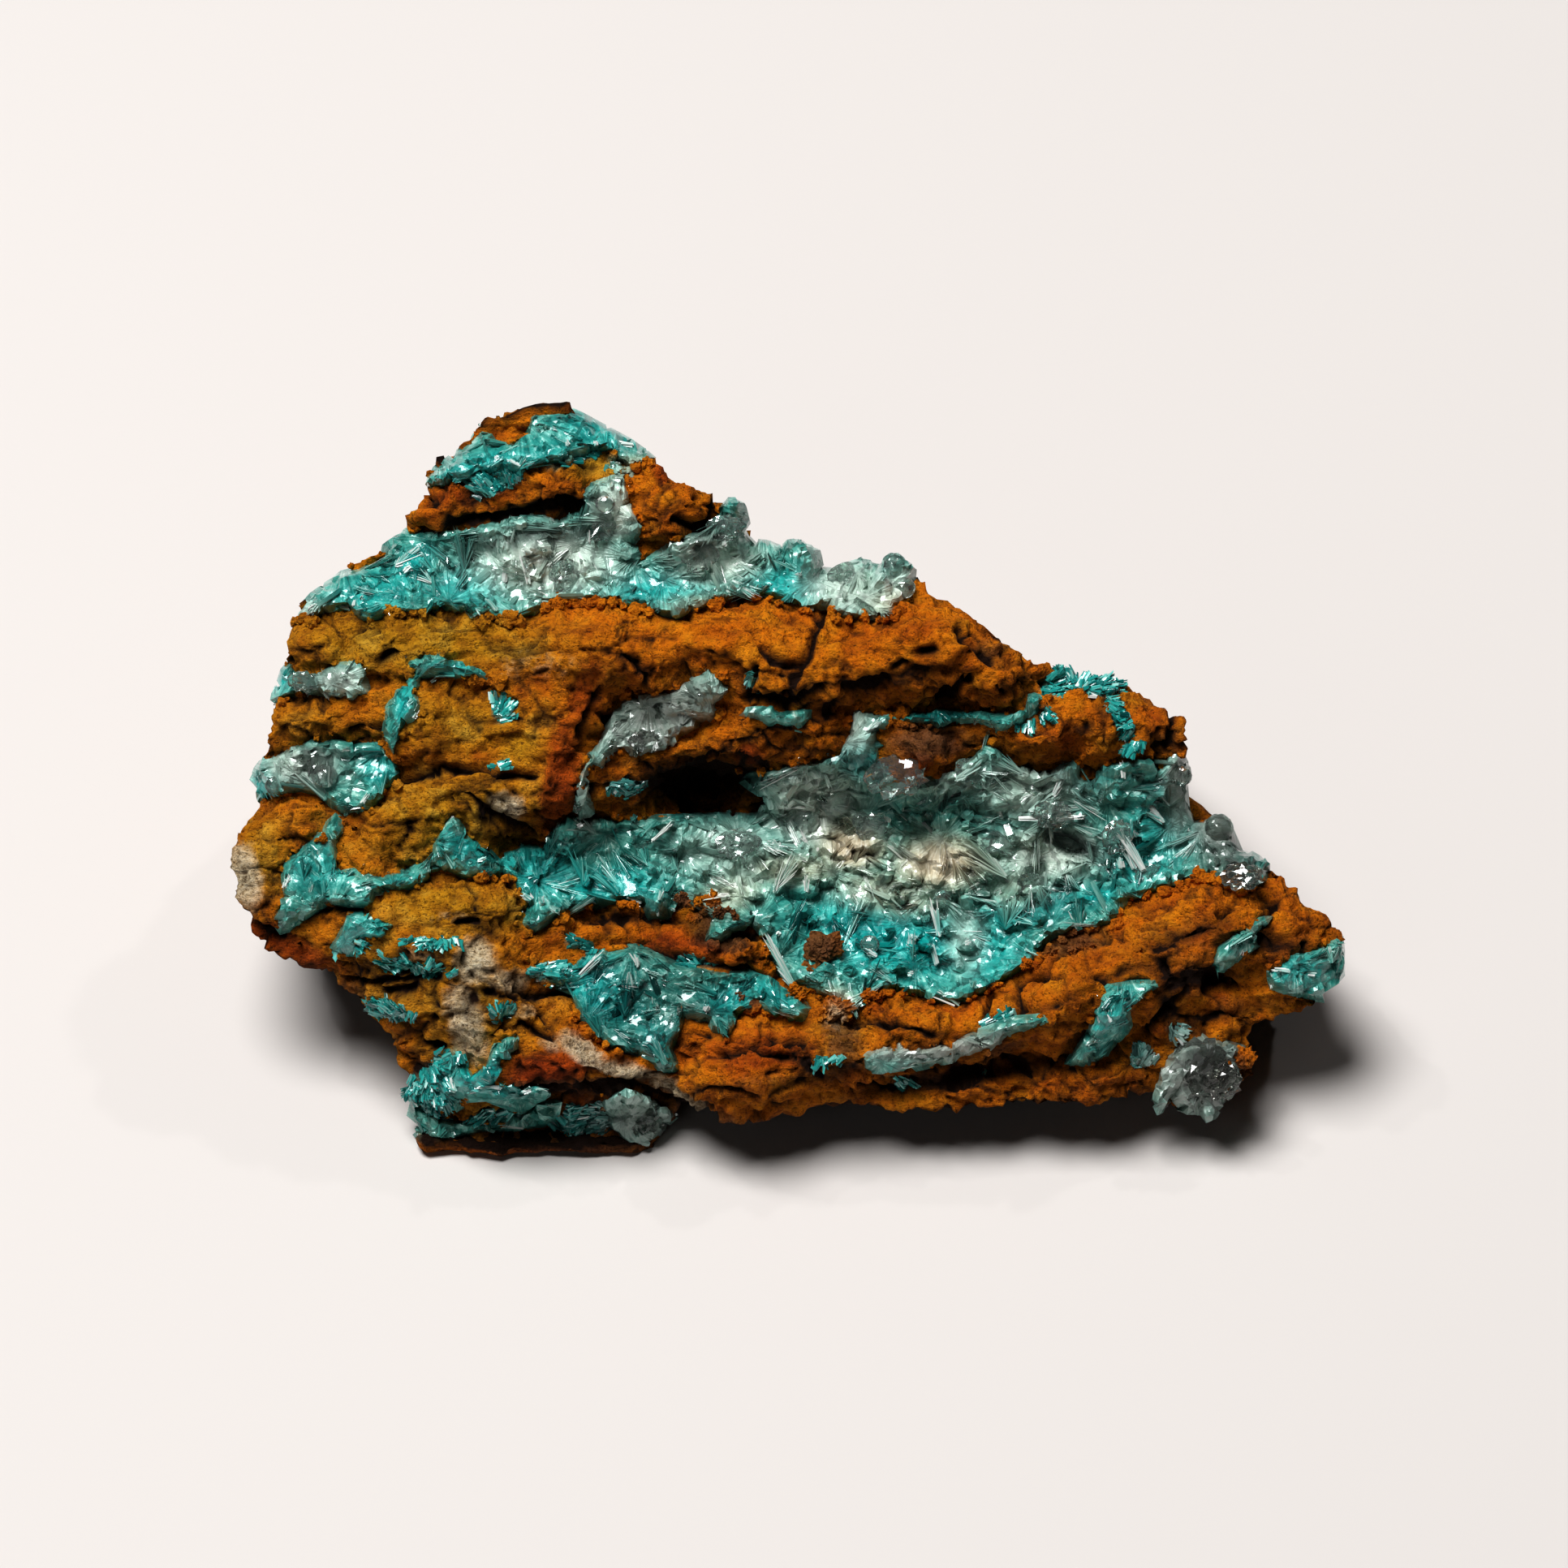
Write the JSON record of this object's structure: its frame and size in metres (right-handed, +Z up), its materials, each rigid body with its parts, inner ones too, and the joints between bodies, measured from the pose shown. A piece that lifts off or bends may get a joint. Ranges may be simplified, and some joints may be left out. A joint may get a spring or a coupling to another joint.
{
  "type": "mineral specimen",
  "caption": "Aurichalcite sprays and clear hemimorphite in the hollows of a layered limonite rock, lying on a flat base.",
  "frame": {"origin": "middle of the base, on the surface that the rock rests on, under the middle of its box", "axes": "+Z up, +X to the right along the rock's length, -Y towards the viewer of the crystal face"},
  "size_m": [0.0694, 0.0374, 0.0325],
  "materials": {
    "limonite": "matte, grainy, rust orange to ochre",
    "aurichalcite": "silky to glassy, teal",
    "hemimorphite": "glassy, clear grey"
  },
  "bodies": {
    "root": {"limonite_matrix": "limonite", "peak_crystals": "aurichalcite", "upper_shelf_crystals": "aurichalcite", "left_notch_crystals": "aurichalcite", "left_channel_crystals": "aurichalcite", "left_pocket_crystals": "hemimorphite", "left_seam_crystals": "aurichalcite", "left_patch_crystals": "aurichalcite", "main_vug_crystals": "aurichalcite", "grey_pocket_crystals": "hemimorphite", "middle_seam_crystals": "aurichalcite", "lower_pocket_crystals": "aurichalcite", "foot_druse_crystals": "aurichalcite", "foot_seam_crystals": "aurichalcite", "foot_hollow_crystals": "hemimorphite", "right_seam_crystals": "aurichalcite", "right_end_crystals": "aurichalcite", "right_hollow_crystals": "aurichalcite", "grey_seam_crystals": "hemimorphite", "corner_cluster_crystals": "hemimorphite"}
  },
  "joints": []
}
